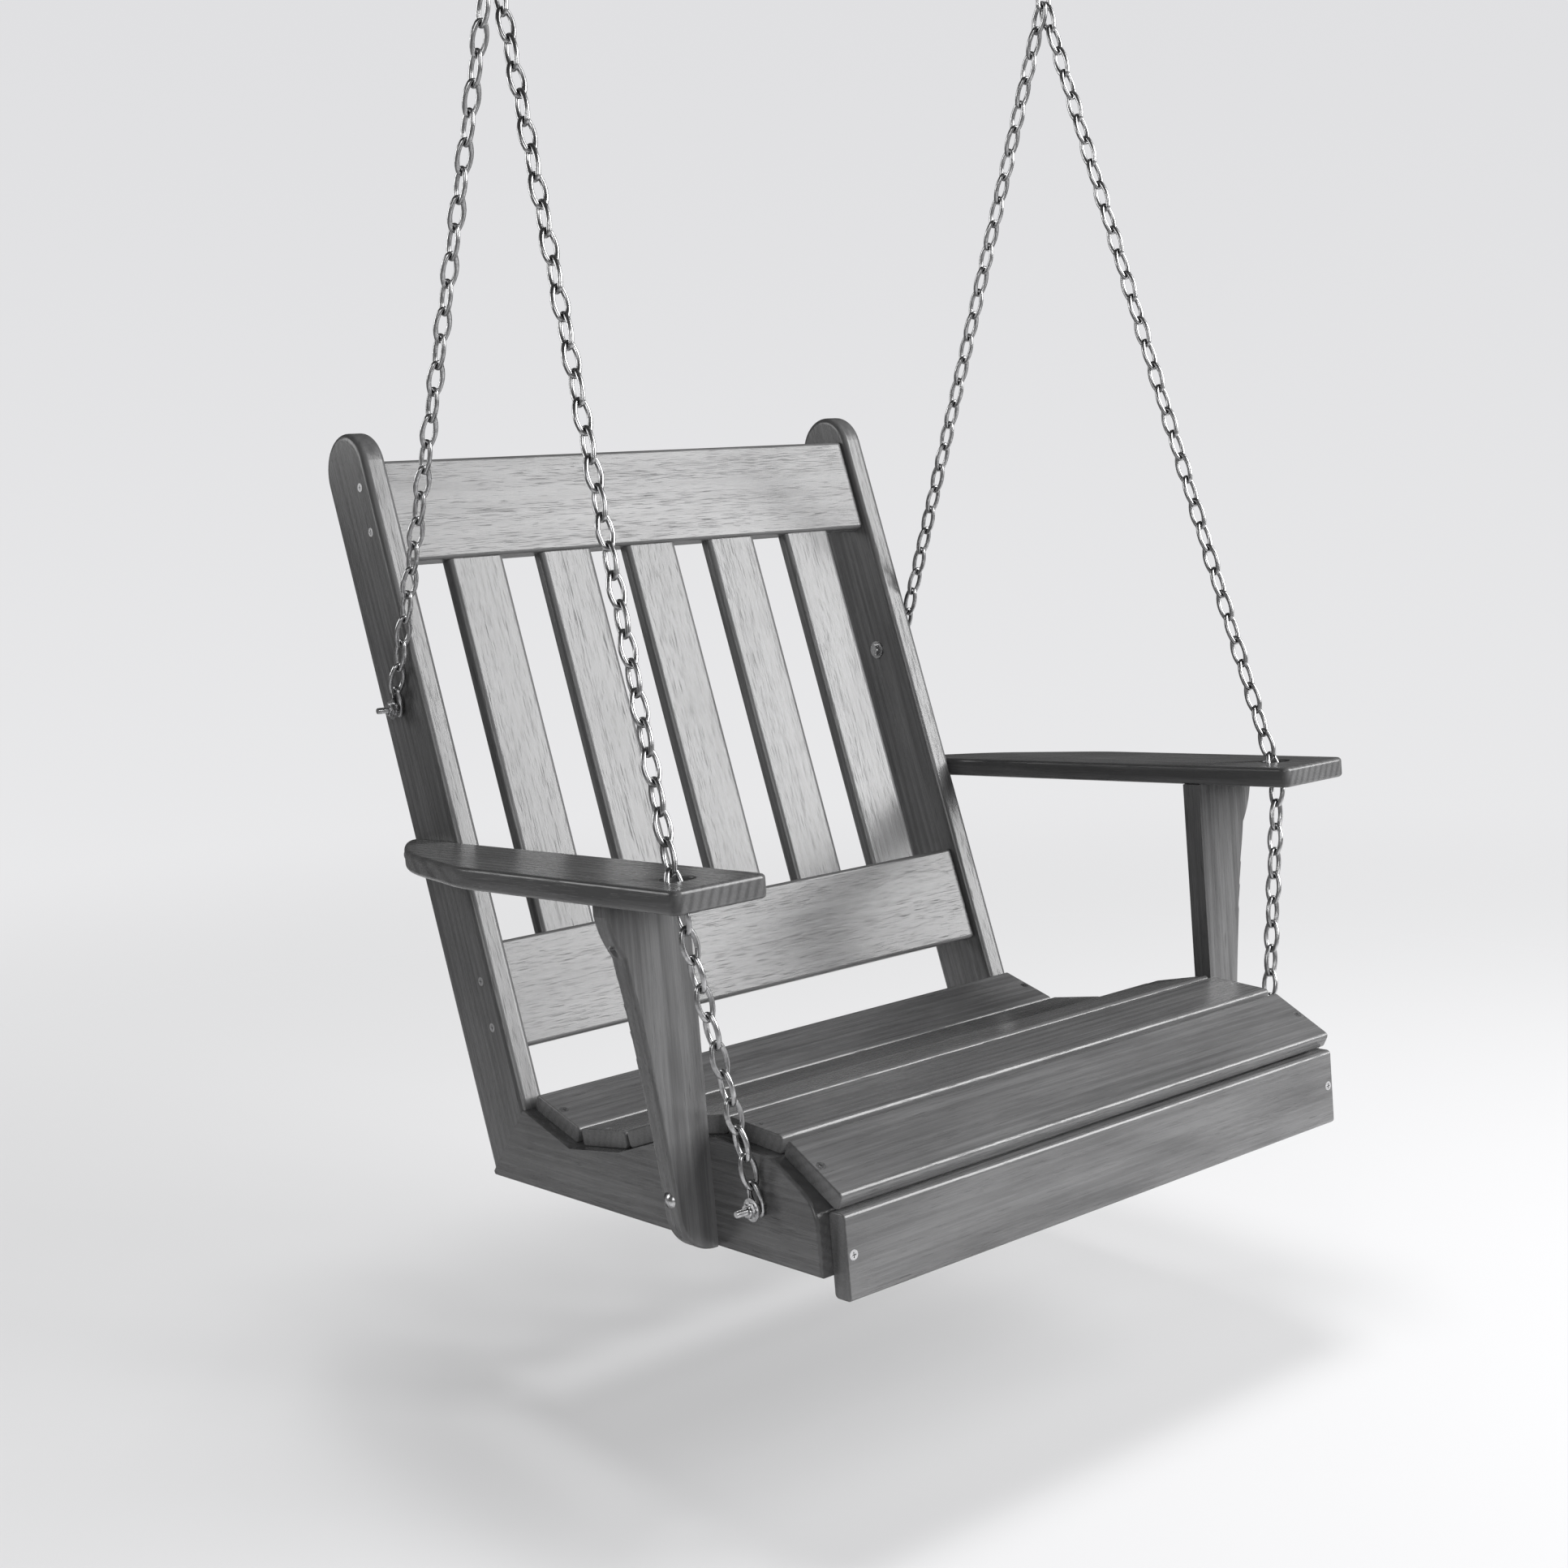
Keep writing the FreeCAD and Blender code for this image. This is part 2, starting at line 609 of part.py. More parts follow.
def tenons(x, grow):
    """Stub tenons at both ends of the back slat centred on x, in the frame of the back."""
    middle = (BACK_SLAT_SET + BACK_DEPTH) / 2
    half_x, half_y, reach = TENON_WIDTH / 2 + grow, TENON_THICK / 2 + grow, TENON_LENGTH + grow
    shoulder_low, shoulder_high = LOWER_RAIL_FOOT + RAIL_HEIGHT, TOP_RAIL_FOOT
    ends = [(shoulder_low - reach, shoulder_low), (shoulder_high, shoulder_high + reach)]
    return [box(x - half_x, x + half_x, middle - half_y, middle + half_y, a, b) for a, b in ends]


def back_slat_x(k):
    return (k - (BACK_SLATS - 1) / 2) * BACK_SLAT_PITCH


def back_slat(x):
    half = BACK_SLAT_WIDTH / 2
    low, high = LOWER_RAIL_FOOT + RAIL_HEIGHT, TOP_RAIL_FOOT
    board = box(x - half, x + half, BACK_SLAT_SET, BACK_DEPTH, low, high)
    board = board.makeFillet(BACK_SLAT_ROUND, [e for e in board.Edges if e.BoundBox.ZLength > 1])
    return placed(board.fuse(tenons(x, 0)), ON_BACK)


def mortised(rail):
    sockets = [s for k in range(BACK_SLATS) for s in tenons(back_slat_x(k), FIT)]
    return rail.cut([placed(s, ON_BACK) for s in sockets])


def arm():
    """Arm on the +X side: straight inside, straight then curved in to the stile outside."""
    x0, x1 = FRAME_OUT, FRAME_OUT + ARM_WIDTH
    curve = Part.BSplineCurve()
    points = [V(x1, ARM_STRAIGHT, 0)] + [V(x, y, 0) for x, y in ARM_CURVE] + [V(*ARM_END, 0)]
    curve.interpolate(Points=points, InitialTangent=V(0, 1, 0), FinalTangent=V(-0.8, 0.6, 0))
    corners = [V(*ARM_END, 0), V(x0, ARM_END[1], 0), V(x0, 0, 0), V(x1, 0, 0), points[0]]
    sides = [Part.makeLine(a, b) for a, b in zip(corners, corners[1:])]
    board = Part.Face(Part.Wire([curve.toShape()] + sides)).extrude(V(0, 0, -ARM_THICK))
    front = [e for e in board.Edges if e.BoundBox.ZLength > 1 and e.BoundBox.YMax < 0.01]
    board = board.makeFillet(ARM_CORNER, front)
    board = board.makeFillet(ARM_ROUND, [e for e in board.Edges if e.BoundBox.ZLength < 0.01])
    x, y = CHAIN_HOLE
    board = board.cut(rod(CHAIN_HOLE_R, V(x, y, -ARM_THICK - 1), V(x, y, 1)))
    rims = [e for e in board.Edges if e.BoundBox.ZLength < 0.01
            and abs(e.BoundBox.XLength - 2 * CHAIN_HOLE_R) < 0.1]
    return board.makeFillet(1.5, rims)


def arm_post():
    """Post on the +X side that carries the arm from the seat rail; drawn in the XZ plane."""
    foot_r = POST_TAPER[2][1] - POST_FOOT
    foot_x = POST_TAPER[2][0] - foot_r
    turn = math.radians(45)
    foot_mid = (foot_x + foot_r * math.cos(turn), POST_FOOT + foot_r * (1 - math.sin(turn)))
    top = -ARM_THICK
    edges = [
        line((FRAME_OUT, top), (POST_TOP_X, top)),
        line((POST_TOP_X, top), POST_HORN[0]),
        arc(*POST_HORN),
        line(POST_HORN[2], POST_TAPER[0]),
        arc(*POST_TAPER),
        arc(POST_TAPER[2], foot_mid, (foot_x, POST_FOOT)),
        line((foot_x, POST_FOOT), (FRAME_OUT, POST_FOOT)),
        line((FRAME_OUT, POST_FOOT), (FRAME_OUT, top)),
    ]
    board = Part.Face(Part.Wire(edges)).extrude(V(0, POST_THICK, 0))
    board.translate(V(0, POST_FRONT, 0))
    rim = [e for e in board.Edges if e.BoundBox.YLength < 0.01
           and e.BoundBox.XMax > FRAME_OUT + 1 and e.BoundBox.ZMin < top - 1]
    return board.makeFillet(POST_ROUND, rim)


# ---------------------------------------------------------------- assembly

def pair(name, shape):
    """Left and right nodes of a piece drawn on the +X side."""
    return {name + "_right": shape, name + "_left": mirrored(shape)}


def wooden_nodes():
    nodes = {}
    nodes.update(pair("stile", drilled(stile())))
    nodes.update(pair("seat_rail", drilled(seat_rail())))
    nodes.update(pair("arm", drilled(arm())))
    nodes.update(pair("arm_post", drilled(arm_post())))
    nodes["top_rail"] = mortised(drilled(back_rail(TOP_RAIL_FOOT)))
    nodes["lower_rail"] = mortised(drilled(back_rail(LOWER_RAIL_FOOT)))
    nodes["apron"] = drilled(apron())
    for k in range(BACK_SLATS):
        nodes["back_slat_%d" % (k + 1)] = back_slat(back_slat_x(k))
    for k, slat in enumerate(SEAT_SLATS):
        nodes["seat_slat_%d" % (k + 1)] = drilled(seat_slat(slat))
    return nodes


def fastener_nodes():
    nodes = {}
    for name, (length, _, places) in screw_groups().items():
        nodes[name] = both_sides([aimed(crosshead_screw(length), p, d) for p, d in places])
    nodes["joint_dowels"] = both_sides([dowel(0) for dowel in DOWELS])
    nodes["arm_bolts"] = both_sides([carriage_bolt(*ARM_BOLT)])
    nodes["post_bolts"] = both_sides([carriage_bolt(*POST_BOLT)])
    y, z = POST_BOLT[:2]
    nodes["carriage_washers"] = both_sides([washer(y, z, FRAME_IN - WASHER)])
    nodes["carriage_nuts"] = both_sides([nut(y, z, FRAME_IN - WASHER - NUT)])
    nodes["chain_bolts"] = both_sides([hex_bolt(y, z) for y, z in CHAIN_BOLTS])
    faces = (FRAME_IN - WASHER, STACK_X)
    nodes["chain_washers"] = both_sides([washer(y, z, x) for y, z in CHAIN_BOLTS for x in faces])
    nodes["chain_nuts"] = both_sides([nut(y, z, STACK_X + WASHER) for y, z in CHAIN_BOLTS])
    return nodes


def lower_chain_nodes():
    rear = chain(REAR_TOP, REAR_BEND, REAR_BOLT, PITCH, REAR_LINKS)
    front = chain(FRONT_TOP, FRONT_TURN, FRONT_BOLT, FRONT_PITCH, FRONT_LINKS)
    return {**pair("rear_chain", rear), **pair("front_chain", front)}


def above_join(shape, height, quarter_turn):
    """A fitting of the upper chain on the +X side, at a height above the joining link's bar."""
    facing = FreeCAD.Rotation(V(0, 0, 1), 90 * quarter_turn)
    return placed(shape, FreeCAD.Placement(V(JOIN_X, 0, JOIN_Z + height), facing))


def upper_nodes():
    connector, sleeve = quick_link()
    links = [above_join(LINK, UPPER_LINK_1, 1), above_join(LINK, UPPER_LINK_2, 0)]
    nodes = {}
    nodes.update(pair("joining_link", above_join(joining_link(), 0, 0)))
    nodes.update(pair("upper_links", Part.makeCompound(links)))
    nodes.update(pair("quick_link", above_join(connector, QUICK_FOOT, 1)))
    nodes.update(pair("quick_link_sleeve", above_join(sleeve, QUICK_FOOT, 1)))
    nodes.update(pair("hanger_loop", above_join(hanger_loop(), -JOIN_Z, 0)))
    nodes.update(pair("ceiling_plate", above_join(hanger_plate(), -JOIN_Z, 0)))
    return nodes


def all_nodes():
    chair = {**wooden_nodes(), **fastener_nodes(), **lower_chain_nodes()}
    hanging = hanging_placement()
    nodes = {name: placed(shape, hanging) for name, shape in chair.items()}
    nodes.update(upper_nodes())
    return nodes


os.makedirs("parts", exist_ok=True)
for node, shape in all_nodes().items():
    shape.exportStep("parts/" + node + ".step")
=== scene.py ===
"""Porch swing: materials, fastener detail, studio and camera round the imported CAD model."""

import json
import math

import bpy
from mathutils import Matrix, Vector

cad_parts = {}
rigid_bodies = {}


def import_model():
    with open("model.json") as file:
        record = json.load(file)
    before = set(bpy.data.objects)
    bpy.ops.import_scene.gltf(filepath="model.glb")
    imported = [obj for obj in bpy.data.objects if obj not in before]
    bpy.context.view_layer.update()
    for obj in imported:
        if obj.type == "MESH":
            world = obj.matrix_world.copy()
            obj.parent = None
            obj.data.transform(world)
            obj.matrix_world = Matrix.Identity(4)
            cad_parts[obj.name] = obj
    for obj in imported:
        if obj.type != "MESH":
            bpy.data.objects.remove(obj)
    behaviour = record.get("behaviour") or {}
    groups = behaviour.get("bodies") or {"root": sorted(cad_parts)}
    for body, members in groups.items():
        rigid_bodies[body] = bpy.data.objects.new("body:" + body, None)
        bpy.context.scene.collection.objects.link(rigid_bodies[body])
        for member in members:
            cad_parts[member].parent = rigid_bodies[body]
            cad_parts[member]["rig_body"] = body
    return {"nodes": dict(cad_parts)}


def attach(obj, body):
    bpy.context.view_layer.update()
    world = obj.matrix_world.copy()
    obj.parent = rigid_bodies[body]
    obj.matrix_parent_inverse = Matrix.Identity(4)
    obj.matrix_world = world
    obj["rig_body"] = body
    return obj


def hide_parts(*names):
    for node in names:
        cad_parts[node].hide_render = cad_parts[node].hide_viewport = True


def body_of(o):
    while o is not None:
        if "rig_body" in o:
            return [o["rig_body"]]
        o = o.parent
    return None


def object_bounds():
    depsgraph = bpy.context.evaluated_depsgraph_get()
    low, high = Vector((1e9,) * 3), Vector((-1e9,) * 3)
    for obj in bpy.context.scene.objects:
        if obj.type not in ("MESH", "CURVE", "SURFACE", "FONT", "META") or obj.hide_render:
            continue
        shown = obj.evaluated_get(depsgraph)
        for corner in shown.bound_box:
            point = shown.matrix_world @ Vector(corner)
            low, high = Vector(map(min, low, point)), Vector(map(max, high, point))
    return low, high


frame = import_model()
CAD_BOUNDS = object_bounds()
NODES = frame["nodes"]

# ---------------------------------------------------------------- directions of the swing, row frame
SWING_TILT = math.radians(4.0)  # the chair hangs nose up by this much
BACK_TILT = math.radians(20.0)  # lean of the back once the chair hangs
SEAT_SLOPES = (18.2, -7.0, -17.7, -10.3, 4.7, 29.4)  # rear slat to front slat, degrees

ACROSS = Vector((1, 0, 0))
UP_THE_BACK = Vector((0, math.sin(BACK_TILT), math.cos(BACK_TILT)))
ALONG_THE_ARM = Vector((0, math.cos(SWING_TILT), -math.sin(SWING_TILT)))
UP_THE_POST = Vector((0, math.sin(SWING_TILT), math.cos(SWING_TILT)))


# ---------------------------------------------------------------- node helpers
class Tree:
    """Short calls for building one node tree."""

    def __init__(self, tree):
        self.tree = tree
        tree.nodes.clear()

    def node(self, kind, inputs=None, **settings):
        made = self.tree.nodes.new(kind)
        for name, value in settings.items():
            setattr(made, name, value)
        for name, value in (inputs or {}).items():
            self.feed(made.inputs[name], value)
        return made

    def feed(self, socket, value):
        if isinstance(value, bpy.types.NodeSocket):
            self.tree.links.new(value, socket)
        else:
            socket.default_value = value

    def math(self, operation, a, b=0.0, c=0.0, clamp=False):
        made = self.node("ShaderNodeMath", operation=operation, use_clamp=clamp)
        for socket, value in zip(made.inputs, (a, b, c)):
            self.feed(socket, value)
        return made.outputs[0]

    def remap(self, value, low, high):
        """A smooth step that is 0 at low and 1 at high."""
        inputs = {"Value": value, "From Min": low, "From Max": high}
        return self.node("ShaderNodeMapRange", inputs, interpolation_type="SMOOTHSTEP").outputs[0]

    def noise(self, vector, scale=1.0, detail=2.0, roughness=0.5):
        inputs = {"Vector": vector, "Scale": scale, "Detail": detail, "Roughness": roughness}
        return self.node("ShaderNodeTexNoise", inputs).outputs["Fac"]

    def stretched_noise(self, vector, scales, detail=2.0, roughness=0.5):
        """Noise with its own number of blotches per metre along each axis."""
        placed = self.node("ShaderNodeMapping", {"Vector": vector, "Scale": scales}).outputs[0]
        return self.noise(placed, detail=detail, roughness=roughness)

    def waver(self, value, share, base=0.0):
        """base, plus or minus half the share as a value runs from 0 to 1."""
        return self.math("MULTIPLY_ADD", self.math("SUBTRACT", value, 0.5), share, base)

    def surface(self, shader):
        self.feed(self.node("ShaderNodeOutputMaterial").inputs["Surface"], shader)

    def blend(self, factor, a, b):
        """a where factor is 0 and b where it is 1, for colours."""
        made = self.node("ShaderNodeMix", data_type="RGBA")
        for socket, value in ((made.inputs[0], factor), (made.inputs[6], a), (made.inputs[7], b)):
            self.feed(socket, value)
        return made.outputs[2]


def grey(value):
    """A neutral colour with the faint cool cast of the stain."""
    return (value, value, value * 1.012, 1.0)


# ---------------------------------------------------------------- wood
WOOD_DARK = 0.066
WOOD_LIGHT = 0.138
PORE_TONE = 0.022
# grey of the eased edges: partly stain gathered there, mostly painted shade of their rounding
EDGE_STAIN_AND_SHADE_TONE = 0.085
WOOD_ROUGHNESS = 0.27
WOOD_SPECULAR = 0.29
PLAIN_FIGURE = 0.24       # contrast of the growth rings
STRONG_FIGURE = 0.55
BOARD_STEP = (0.731, 0.387, 0.213)  # from the wood of one board to that of the next, in metres

# blotches per metre along the grain and across it
WANDER_SCALE = (1.3, 3.0, 3.0)
STREAK_SCALE = (5.0, 230.0, 230.0)
FIBRE_SCALE = (26.0, 1500.0, 1500.0)
CLOUD_SCALE = (7.0, 24.0, 24.0)
PORE_SCALE = (40.0, 1900.0, 1900.0)
BAND_SCALE = (2.5, 75.0, 75.0)

PITH_WANDER = 0.085       # metres that the pith line strays along a board
PITH_ASIDE = 0.012        # metres from the pith line to the middle of the board
RING_RATE = 760.0         # radians of growth ring per metre
STREAK_SHARE = 1.3        # how far each pattern moves the tone between dark and light
CLOUD_SHARE = 1.15
FIBRE_SHARE = 0.7
PORE_COVER = 0.62
# how far the eased edges are darkened: partly stain, mostly painted shade of their rounding
EDGE_STAIN_AND_SHADE = 0.5
END_CALM = 0.85           # how much of the streaks and pores an end face loses

# sockets of the stained board's node group and their kinds
GROUP_INPUTS = {"Vector": "Vector", "Edge": "Float", "Tone": "Float", "Figure": "Float", "End": "Float"}
GROUP_OUTPUTS = {"Color": "Color", "Roughness": "Float", "Height": "Float"}


def growth_rings(t, vector):
    """Late wood, from the distance to a pith line that wanders along the board."""
    wander = t.math("MULTIPLY", t.stretched_noise(vector, WANDER_SCALE, detail=1.0), PITH_WANDER)
    parts = t.node("ShaderNodeSeparateXYZ", {"Vector": vector}).outputs
    across = t.math("POWER", t.math("ADD", parts["Y"], PITH_ASIDE), 2.0)
    deep = t.math("POWER", t.math("ADD", parts["Z"], wander), 2.0)
    distance = t.math("SQRT", t.math("ADD", across, deep))
    wave = t.math("SINE", t.math("MULTIPLY", distance, RING_RATE))
    return t.math("POWER", t.math("MULTIPLY_ADD", wave, 0.5, 0.5), 2.0)


def open_pores(t, vector, late_wood, long_face):
    """Short dark dashes that gather in bands, mostly on the long faces."""
    field = t.stretched_noise(vector, PORE_SCALE, detail=1.0, roughness=0.4)
    bands = t.stretched_noise(vector, BAND_SCALE)
    banded = t.math("MULTIPLY_ADD", bands, -0.30, 0.80)
    threshold = t.math("ADD", banded, t.math("MULTIPLY", late_wood, 0.02))
    return t.math("MULTIPLY", t.remap(t.math("SUBTRACT", field, threshold), 0.0, 0.05), long_face)


def wood_group():
    """The pattern of a stained board. Its vector is in metres, with X along the grain."""
    group = bpy.data.node_groups.new("stained_board", "ShaderNodeTree")
    for sockets, direction in ((GROUP_INPUTS, "INPUT"), (GROUP_OUTPUTS, "OUTPUT")):
        for name, kind in sockets.items():
            group.interface.new_socket(name, in_out=direction, socket_type="NodeSocket" + kind)
    t = Tree(group)
    given = t.node("NodeGroupInput").outputs
    vector, edge = given["Vector"], given["Edge"]

    late_wood = growth_rings(t, vector)
    streaks = t.stretched_noise(vector, STREAK_SCALE, detail=4.0, roughness=0.62)
    fibres = t.stretched_noise(vector, FIBRE_SCALE, detail=3.0, roughness=0.6)
    clouds = t.stretched_noise(vector, CLOUD_SCALE, detail=3.0, roughness=0.55)
    long_face = t.math("SUBTRACT", 1.0, t.math("MULTIPLY", given["End"], END_CALM))
    pores = open_pores(t, vector, late_wood, long_face)

    level = t.waver(streaks, t.math("MULTIPLY", long_face, STREAK_SHARE), 0.5)
    level = t.waver(clouds, CLOUD_SHARE, level)
    level = t.waver(fibres, FIBRE_SHARE, level)
    level = t.math("SUBTRACT", level, t.math("MULTIPLY", late_wood, given["Figure"]), clamp=True)
    colour = t.blend(level, grey(WOOD_DARK), grey(WOOD_LIGHT))
    # darkens the eased edges: partly stain gathered there, mostly painted shade of the rounding
    colour = t.blend(t.math("MULTIPLY", edge, EDGE_STAIN_AND_SHADE), colour, grey(EDGE_STAIN_AND_SHADE_TONE))
    colour = t.blend(t.math("MULTIPLY", pores, PORE_COVER), colour, grey(PORE_TONE))
    toned = t.node("ShaderNodeVectorMath", operation="SCALE")
    t.feed(toned.inputs[0], colour)
    t.feed(toned.inputs["Scale"], given["Tone"])

    # pores are dull and sunk, worn edges a little glossier
    rough = t.waver(streaks, 0.16, WOOD_ROUGHNESS)
    rough = t.math("MULTIPLY_ADD", pores, 0.25, rough)
    rough = t.math("SUBTRACT", rough, t.math("MULTIPLY", edge, 0.05), clamp=True)
    height = t.math("MULTIPLY_ADD", fibres, 0.35, t.math("MULTIPLY", streaks, 0.25))
    height = t.math("SUBTRACT", height, t.math("MULTIPLY", pores, 0.9))

    outputs = {"Color": toned.outputs[0], "Roughness": rough, "Height": height}
    t.node("NodeGroupOutput", outputs)
    return group


BOARD = wood_group()


def board_rotation(grain, face):
    """Euler angles that turn row-frame directions into the board's own (grain, side, face)."""
    side = face.cross(grain).normalized()
    flat = grain.cross(side).normalized()
    return Matrix((grain, side, flat)).to_euler("XYZ")


def wood(name, grain, face, seed, tone, figure=PLAIN_FIGURE):
    """Stained wood of one board. Grain and face say how it lies; figure is the contrast of its rings."""
    material = bpy.data.materials.new("wood_" + name)
    material.use_nodes = True
    t = Tree(material.node_tree)
    place = t.node("ShaderNodeTexCoord").outputs
    turn = board_rotation(grain, face)
    shift = [seed * step for step in BOARD_STEP]
    grain_place = t.node(
        "ShaderNodeMapping", {"Vector": place["Object"], "Rotation": turn, "Location": shift}
    ).outputs[0]
    facing = t.node(
        "ShaderNodeMapping", {"Vector": place["Normal"], "Rotation": turn}, vector_type="VECTOR"
    ).outputs[0]
    unsigned = t.node("ShaderNodeVectorMath", operation="ABSOLUTE")
    t.feed(unsigned.inputs[0], facing)
    parts = t.node("ShaderNodeSeparateXYZ", {"Vector": unsigned.outputs[0]}).outputs
    squarest = t.math("MAXIMUM", t.math("MAXIMUM", parts[0], parts[1]), parts[2])
    edge = t.remap(squarest, 0.995, 0.80)
    end = t.remap(parts[0], 0.6, 0.95)

    inputs = {"Vector": grain_place, "Edge": edge, "Tone": tone, "Figure": figure, "End": end}
    pattern = t.node("ShaderNodeGroup", node_tree=BOARD)
    for socket, value in inputs.items():
        t.feed(pattern.inputs[socket], value)
    bump = t.node(
        "ShaderNodeBump", {"Height": pattern.outputs["Height"], "Strength": 0.35, "Distance": 0.0004}
    )
    shader = t.node(
        "ShaderNodeBsdfPrincipled",
        {
            "Base Color": pattern.outputs["Color"],
            "Roughness": pattern.outputs["Roughness"],
            "Normal": bump.outputs[0],
            "Specular IOR Level": WOOD_SPECULAR,
            "Coat Weight": 0.05,
            "Coat Roughness": 0.2,
        },
    )
    t.surface(shader.outputs[0])
    return material


def slope_face(slope):
    """The upward normal of a seat slat of the given slope."""
    angle = math.radians(slope) + SWING_TILT
    return Vector((0, -math.sin(angle), math.cos(angle)))


# ---------------------------------------------------------------- metal
SCRATCH_SCALE = (900.0, 900.0, 160.0)  # scratches per metre along each axis


def metal(name, tone, roughness, wear_scale, grime):
    """Plated steel with cloudy tarnish and fine scratches; grime is how much the tarnish darkens it."""
    material = bpy.data.materials.new(name)
    material.use_nodes = True
    t = Tree(material.node_tree)
    place = t.node("ShaderNodeTexCoord").outputs["Object"]
    clouds = t.noise(place, scale=wear_scale, detail=4.0, roughness=0.6)
    scratches = t.stretched_noise(place, SCRATCH_SCALE, detail=3.0, roughness=0.7)
    level = t.remap(clouds, 0.35, 0.65)
    colour = t.blend(level, grey(tone * (1 - grime)), grey(tone))
    rough = t.waver(scratches, 0.22, roughness)
    tarnish = t.math("SUBTRACT", 1.0, level)
    rough = t.math("MULTIPLY_ADD", tarnish, 0.08, rough, clamp=True)
    bump = t.node("ShaderNodeBump", {"Height": scratches, "Strength": 0.12, "Distance": 0.00015})
    shader = t.node(
        "ShaderNodeBsdfPrincipled",
        {"Base Color": colour, "Metallic": 1.0, "Roughness": rough, "Normal": bump.outputs[0]},
    )
    t.surface(shader.outputs[0])
    return material


# ---------------------------------------------------------------- chain bolts and nuts, in metres
BOLT_R = 0.0030
HEX_FLATS = 0.0110
HEX_CROWN = 0.0052        # radius of the round flat on a chamfered head or nut
HEX_CHAMFER = 0.0007
HEAD_FOOT = 0.2900        # distance of each face from the middle of the swing
HEAD_TOP = 0.2860
NUT_FOOT = 0.3281
NUT_TOP = 0.3331
BOLT_TIP = 0.3435
BORE_R = 0.0031
THREAD_START = 0.3262
THREAD_PITCH = 0.0010
THREAD_DEPTH = 0.00055
THREAD_STEPS = 6          # rings along one turn of the thread
ROUND_STEPS = 48


def circle(radius):
    """A round section, in the form that a station takes."""
    return lambda turn: radius


def hexagon(crown=None):
    """Radius of the hexagon in a direction, cut back to the crown where its corners are chamfered."""
    def radius(turn):
        off_flat = turn % (math.pi / 3) - math.pi / 6
        corner = HEX_FLATS / 2 / math.cos(off_flat)
        return min(corner, crown) if crown else corner
    return radius


def thread(x):
    """Radius of the threaded part at a distance x from the middle of the swing."""
    def radius(turn):
        phase = (x / THREAD_PITCH - turn / (2 * math.pi)) % 1.0
        return BOLT_R - THREAD_DEPTH * abs(2 * phase - 1)
    return radius


def turned(stations, looped):
    """Vertices and faces round the X axis through (x, radius) stations, closed by caps or into a loop."""
    vertices = []
    for x, radius in stations:
        for i in range(ROUND_STEPS):
            turn = 2 * math.pi * i / ROUND_STEPS
            vertices.append(Vector((x, radius(turn) * math.cos(turn), radius(turn) * math.sin(turn))))
    faces = []
    count = len(stations)
    for ring in range(count if looped else count - 1):
        here, following = ring * ROUND_STEPS, (ring + 1) % count * ROUND_STEPS
        for i in range(ROUND_STEPS):
            j = (i + 1) % ROUND_STEPS
            faces.append((here + i, here + j, following + j, following + i))
    if not looped:
        faces.append(tuple(reversed(range(ROUND_STEPS))))
        faces.append(tuple(range((count - 1) * ROUND_STEPS, count * ROUND_STEPS)))
    return vertices, faces


def bolt_stations():
    """A chamfered hexagon head, a plain shank and a thread that runs out at the tip."""
    stations = [
        (HEAD_TOP, hexagon(HEX_CROWN)),
        (HEAD_TOP + HEX_CHAMFER, hexagon()),
        (HEAD_FOOT, hexagon()),
        (HEAD_FOOT, circle(BOLT_R)),
        (THREAD_START - THREAD_PITCH, circle(BOLT_R)),
    ]
    step = THREAD_PITCH / THREAD_STEPS
    rings = round((BOLT_TIP - THREAD_PITCH / 2 - THREAD_START) / step)
    stations += [(THREAD_START + k * step, thread(THREAD_START + k * step)) for k in range(rings + 1)]
    return stations + [(BOLT_TIP, circle(BOLT_R - THREAD_DEPTH))]


def nut_stations():
    """A nut with both ends chamfered and a bore, as a loop from the bore's foot outwards."""
    return [
        (NUT_FOOT, circle(BORE_R)),
        (NUT_FOOT, hexagon(HEX_CROWN)),
        (NUT_FOOT + HEX_CHAMFER, hexagon()),
        (NUT_TOP - HEX_CHAMFER, hexagon()),
        (NUT_TOP, hexagon(HEX_CROWN)),
        (NUT_TOP, circle(BORE_R)),
    ]


def axes_of(node):
    """The side (-1 or 1), Y and Z of a node's four fasteners, from the outermost rim of each."""
    points = [vertex.co for vertex in NODES[node].data.vertices]
    reach = max(abs(point.x) for point in points)
    rim = [point for point in points if abs(point.x) > reach - BOLT_R / 100]
    middle = sum(point.y for point in rim) / len(rim)
    axes = []
    for side in (-1, 1):
        for is_front in (False, True):
            ring = [p for p in rim if p.x * side > 0 and (p.y < middle) == is_front]
            y, z = ([point[axis] for point in ring] for axis in (1, 2))
            axes.append((side, (min(y) + max(y)) / 2, (min(z) + max(z)) / 2))
    return axes


def fasteners(name, node, stations, looped, material):
    """Detailed fasteners that stand for a CAD node, one on each of its axes."""
    vertices, faces = [], []
    shape, skin = turned(stations, looped)
    for side, y, z in axes_of(node):
        first = len(vertices)
        vertices += [(side * v.x, v.y + y, v.z + z) for v in shape]
        faces += [tuple(first + i for i in (face if side > 0 else reversed(face))) for face in skin]
    mesh = bpy.data.meshes.new(name)
    mesh.from_pydata(vertices, [], faces)
    mesh.update()
    mesh.shade_smooth()
    mesh.set_sharp_from_angle(angle=math.radians(28))
    mesh.materials.append(material)
    piece = bpy.data.objects.new(name, mesh)
    bpy.context.scene.collection.objects.link(piece)
    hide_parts(node)
    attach(piece, body_of(NODES[node])[0])


# ---------------------------------------------------------------- materials onto the CAD nodes
def assign(node, material):
    """Puts the material in every slot of the node's object."""
    for slot in NODES[node].material_slots:
        slot.material = material
    if not NODES[node].material_slots:
        NODES[node].data.materials.append(material)


